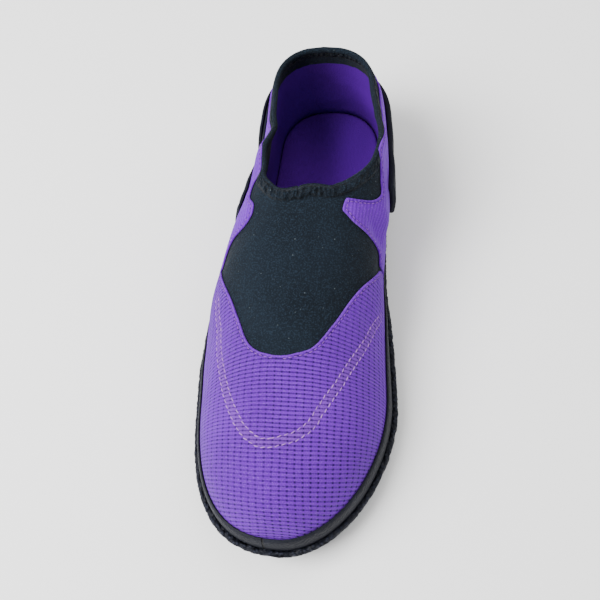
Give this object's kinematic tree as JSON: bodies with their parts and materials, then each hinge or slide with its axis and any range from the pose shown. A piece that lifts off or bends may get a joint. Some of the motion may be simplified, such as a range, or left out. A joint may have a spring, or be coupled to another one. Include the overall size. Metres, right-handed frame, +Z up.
{
  "type": "slip-on water shoe",
  "caption": "Left slip-on water shoe: hollow stretch upper with mesh toe and heel panels, wrap-round heel strap, smooth rubber band and treaded rubber sole.",
  "frame": {"origin": "centre of the sole's outline on the ground it stands on", "axes": "+Z up, toe to -Y, heel to +Y, outer side of the left foot to +X"},
  "size_m": [0.099, 0.256, 0.0736],
  "materials": {
    "sole_rubber": "pebbled matt black rubber",
    "band_rubber": "smooth satin black rubber",
    "lining": "brushed dark purple lining",
    "stretch_fabric": "fine matt blue-black stretch knit over foam",
    "purple_mesh": "purple open-hole stretch mesh",
    "strap_webbing": "matt black bonded strap"
  },
  "bodies": {
    "root": {"outsole": "sole_rubber", "foxing_band": "band_rubber", "insole": "lining", "upper": "stretch_fabric", "toe_panel": "purple_mesh", "heel_panel": "purple_mesh", "strap_inner": "strap_webbing", "strap_outer": "strap_webbing"}
  },
  "joints": []
}
